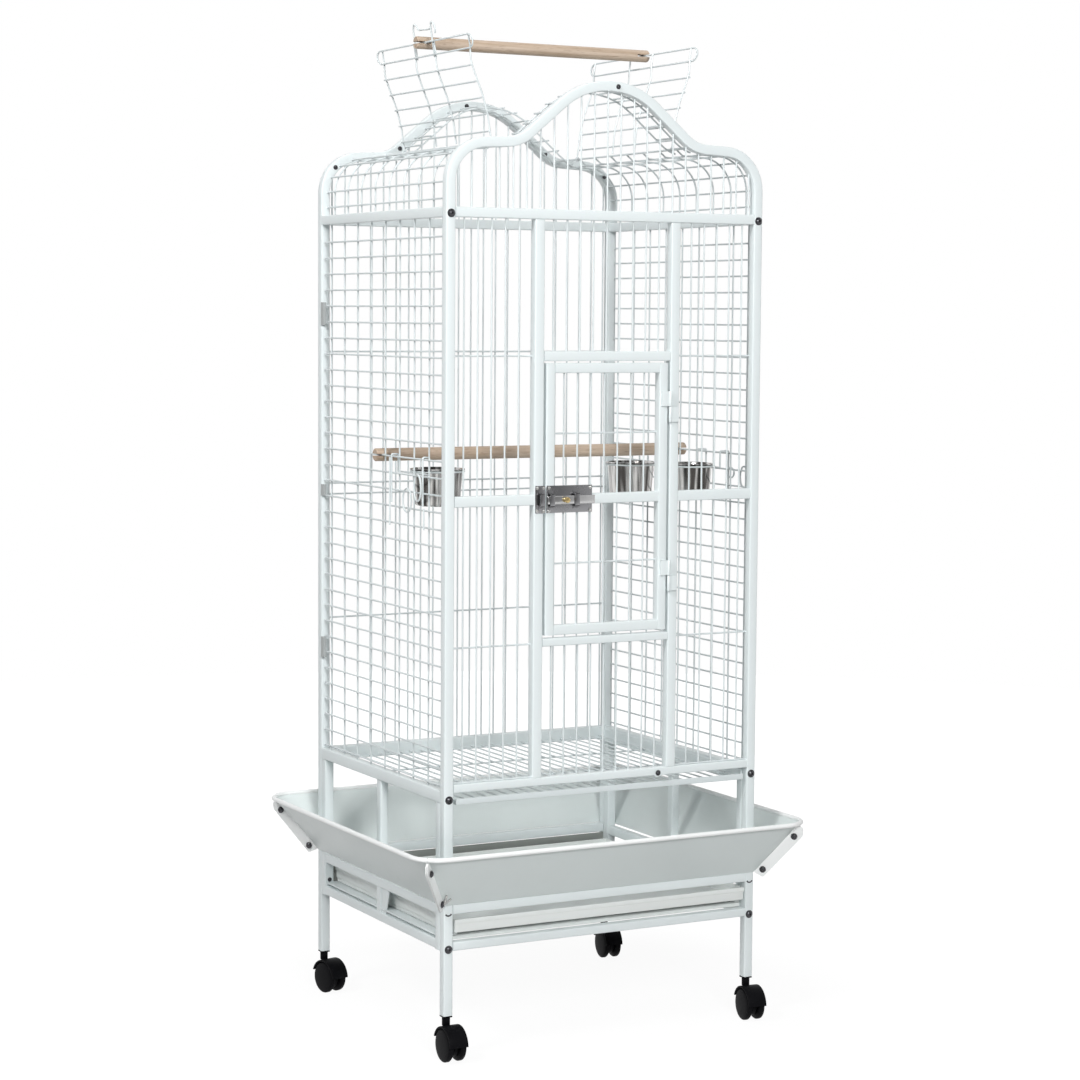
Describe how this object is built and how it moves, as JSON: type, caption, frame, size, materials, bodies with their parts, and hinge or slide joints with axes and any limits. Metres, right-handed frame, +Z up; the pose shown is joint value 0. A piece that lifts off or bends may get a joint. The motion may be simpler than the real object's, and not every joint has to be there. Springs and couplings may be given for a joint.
{
  "type": "bird cage",
  "caption": "Tall open-top bird cage on a wheeled stand, with arched ends, wire grilles, a front door, hinged roof flaps, perches, cups, seed guards, a grate and a tray.",
  "frame": {"origin": "on the floor, under the middle of the stand", "axes": "+Z up; -Y is the front, where the door is; +X is to the right of someone who faces the door"},
  "size_m": [0.6836, 0.6096, 1.5562],
  "materials": {
    "hoop_front": "white powder coat",
    "hoop_rear": "white powder coat",
    "gable_front": "white powder coat",
    "gable_rear": "white powder coat",
    "front_bottom_rail": "white powder coat",
    "front_grille_left": "white powder coat",
    "front_grille_right": "white powder coat",
    "front_grille_top": "white powder coat",
    "front_grille_bottom": "white powder coat",
    "rear_grille": "white powder coat",
    "side_panel_left": "white powder coat",
    "side_panel_right": "white powder coat",
    "roof_shoulder_left": "white powder coat",
    "roof_shoulder_right": "white powder coat",
    "roof_strip_front": "white powder coat",
    "roof_strip_rear": "white powder coat",
    "stand_side_left": "white powder coat",
    "stand_side_right": "white powder coat",
    "stand_rail_front_upper": "white powder coat",
    "stand_rail_front_lower": "white powder coat",
    "stand_rail_rear_upper": "white powder coat",
    "stand_rail_rear_lower": "white powder coat",
    "seed_guard_front": "white powder coat",
    "seed_guard_rear": "white powder coat",
    "seed_guard_left": "white powder coat",
    "seed_guard_right": "white powder coat",
    "leg_front_left": "white powder coat",
    "leg_front_right": "white powder coat",
    "leg_rear_left": "white powder coat",
    "leg_rear_right": "white powder coat",
    "hinge_upper": "white powder coat",
    "hinge_lower": "white powder coat",
    "latch_keeper": "bright plated steel",
    "perch_inner": "turned beech",
    "cup_holder_left": "white powder coat",
    "cup_holder_right_front": "white powder coat",
    "cup_holder_right_rear": "white powder coat",
    "door": "white powder coat",
    "latch_plate": "bright plated steel",
    "latch_bolt": "bright plated steel",
    "latch_grip": "bright plated steel",
    "roof_flap_left": "white powder coat",
    "roof_flap_right": "white powder coat",
    "perch_top": "turned beech",
    "turn_button": "white powder coat",
    "grate": "white powder coat",
    "tray": "white powder coat",
    "cup_left": "polished stainless steel",
    "cup_right_front": "polished stainless steel",
    "cup_right_rear": "polished stainless steel",
    "caster_front_left": "black nylon",
    "wheels_front_left": "black nylon",
    "caster_front_right": "black nylon",
    "wheels_front_right": "black nylon",
    "caster_rear_left": "black nylon",
    "wheels_rear_left": "black nylon",
    "caster_rear_right": "black nylon",
    "wheels_rear_right": "black nylon"
  },
  "bodies": {
    "cage": {"hoop_front": "hoop_front", "hoop_rear": "hoop_rear", "gable_front": "gable_front", "gable_rear": "gable_rear", "front_bottom_rail": "front_bottom_rail", "front_grille_left": "front_grille_left", "front_grille_right": "front_grille_right", "front_grille_top": "front_grille_top", "front_grille_bottom": "front_grille_bottom", "rear_grille": "rear_grille", "side_panel_left": "side_panel_left", "side_panel_right": "side_panel_right", "roof_shoulder_left": "roof_shoulder_left", "roof_shoulder_right": "roof_shoulder_right", "roof_strip_front": "roof_strip_front", "roof_strip_rear": "roof_strip_rear", "stand_side_left": "stand_side_left", "stand_side_right": "stand_side_right", "stand_rail_front_upper": "stand_rail_front_upper", "stand_rail_front_lower": "stand_rail_front_lower", "stand_rail_rear_upper": "stand_rail_rear_upper", "stand_rail_rear_lower": "stand_rail_rear_lower", "seed_guard_front": "seed_guard_front", "seed_guard_rear": "seed_guard_rear", "seed_guard_left": "seed_guard_left", "seed_guard_right": "seed_guard_right", "leg_front_left": "leg_front_left", "leg_front_right": "leg_front_right", "leg_rear_left": "leg_rear_left", "leg_rear_right": "leg_rear_right", "hinge_upper": "hinge_upper", "hinge_lower": "hinge_lower", "latch_keeper": "latch_keeper", "perch_inner": "perch_inner", "cup_holder_left": "cup_holder_left", "cup_holder_right_front": "cup_holder_right_front", "cup_holder_right_rear": "cup_holder_right_rear"},
    "door": {"door": "door", "latch_plate": "latch_plate"},
    "latch_bolt": {"latch_bolt": "latch_bolt", "latch_grip": "latch_grip"},
    "roof_flap_left": {"roof_flap_left": "roof_flap_left"},
    "roof_flap_right": {"roof_flap_right": "roof_flap_right"},
    "perch_top": {"perch_top": "perch_top"},
    "turn_button": {"turn_button": "turn_button"},
    "grate": {"grate": "grate"},
    "tray": {"tray": "tray"},
    "cup_left": {"cup_left": "cup_left"},
    "cup_right_front": {"cup_right_front": "cup_right_front"},
    "cup_right_rear": {"cup_right_rear": "cup_right_rear"},
    "caster_front_left": {"caster_front_left": "caster_front_left"},
    "wheels_front_left": {"wheels_front_left": "wheels_front_left"},
    "caster_front_right": {"caster_front_right": "caster_front_right"},
    "wheels_front_right": {"wheels_front_right": "wheels_front_right"},
    "caster_rear_left": {"caster_rear_left": "caster_rear_left"},
    "wheels_rear_left": {"wheels_rear_left": "wheels_rear_left"},
    "caster_rear_right": {"caster_rear_right": "caster_rear_right"},
    "wheels_rear_right": {"wheels_rear_right": "wheels_rear_right"}
  },
  "joints": [
    {"name": "door_hinge", "type": "hinge", "parent": "cage", "child": "door", "pos_m": [0.108, -0.2388, 0.629], "axis": [0, 0, 1], "range_deg": [0, 165]},
    {"name": "latch_slide", "type": "slide", "parent": "door", "child": "latch_bolt", "axis": [-1, 0, 0], "range_m": [0, 0.0135]},
    {"name": "flap_left_hinge", "type": "hinge", "parent": "cage", "child": "roof_flap_left", "pos_m": [-0.158, 0, 1.367], "axis": [0, 1, 0], "range_deg": [0, 78]},
    {"name": "flap_right_hinge", "type": "hinge", "parent": "cage", "child": "roof_flap_right", "pos_m": [0.158, 0, 1.367], "axis": [0, 1, 0], "range_deg": [-78, 0]},
    {"name": "perch_top_lift", "type": "slide", "parent": "cage", "child": "perch_top", "axis": [0, 0, 1], "range_m": [0, 0.3]},
    {"name": "button_turn", "type": "hinge", "parent": "cage", "child": "turn_button", "pos_m": [0.0935, -0.2358, 0.4065], "axis": [0, -1, 0], "range_deg": [-90, 0]},
    {"name": "grate_slide", "type": "slide", "parent": "cage", "child": "grate", "axis": [0, -1, 0], "range_m": [0, 0.4]},
    {"name": "tray_slide", "type": "slide", "parent": "cage", "child": "tray", "axis": [0, -1, 0], "range_m": [0, 0.4]},
    {"name": "cup_left_lift", "type": "slide", "parent": "cage", "child": "cup_left", "axis": [0, 0, 1], "range_m": [0, 0.08]},
    {"name": "cup_right_front_lift", "type": "slide", "parent": "cage", "child": "cup_right_front", "axis": [0, 0, 1], "range_m": [0, 0.08]},
    {"name": "cup_right_rear_lift", "type": "slide", "parent": "cage", "child": "cup_right_rear", "axis": [0, 0, 1], "range_m": [0, 0.08]},
    {"name": "swivel_front_left", "type": "hinge", "parent": "cage", "child": "caster_front_left", "pos_m": [-0.265, -0.228, 0.06], "axis": [0, 0, 1], "continuous": true},
    {"name": "roll_front_left", "type": "hinge", "parent": "caster_front_left", "child": "wheels_front_left", "pos_m": [-0.265, -0.245, 0.025], "axis": [1, 0, 0], "continuous": true},
    {"name": "swivel_front_right", "type": "hinge", "parent": "cage", "child": "caster_front_right", "pos_m": [0.265, -0.228, 0.06], "axis": [0, 0, 1], "continuous": true},
    {"name": "roll_front_right", "type": "hinge", "parent": "caster_front_right", "child": "wheels_front_right", "pos_m": [0.26293, -0.24487, 0.025], "axis": [0.9925, -0.1219, 0], "continuous": true},
    {"name": "swivel_rear_left", "type": "hinge", "parent": "cage", "child": "caster_rear_left", "pos_m": [-0.265, 0.228, 0.06], "axis": [0, 0, 1], "continuous": true},
    {"name": "roll_rear_left", "type": "hinge", "parent": "caster_rear_left", "child": "wheels_rear_left", "pos_m": [-0.26147, 0.21137, 0.025], "axis": [0.9781, 0.2079, 0], "continuous": true},
    {"name": "swivel_rear_right", "type": "hinge", "parent": "cage", "child": "caster_rear_right", "pos_m": [0.265, 0.228, 0.06], "axis": [0, 0, 1], "continuous": true},
    {"name": "roll_rear_right", "type": "hinge", "parent": "caster_rear_right", "child": "wheels_rear_right", "pos_m": [0.26322, 0.21109, 0.025], "axis": [0.9945, -0.1045, 0], "continuous": true}
  ],
  "couplings": [
    {"joint": "flap_right_hinge", "follows": "flap_left_hinge", "ratio": -1},
    {"joint": "perch_top_lift", "follows": "flap_left_hinge", "m_per_rad": 0.22}
  ]
}
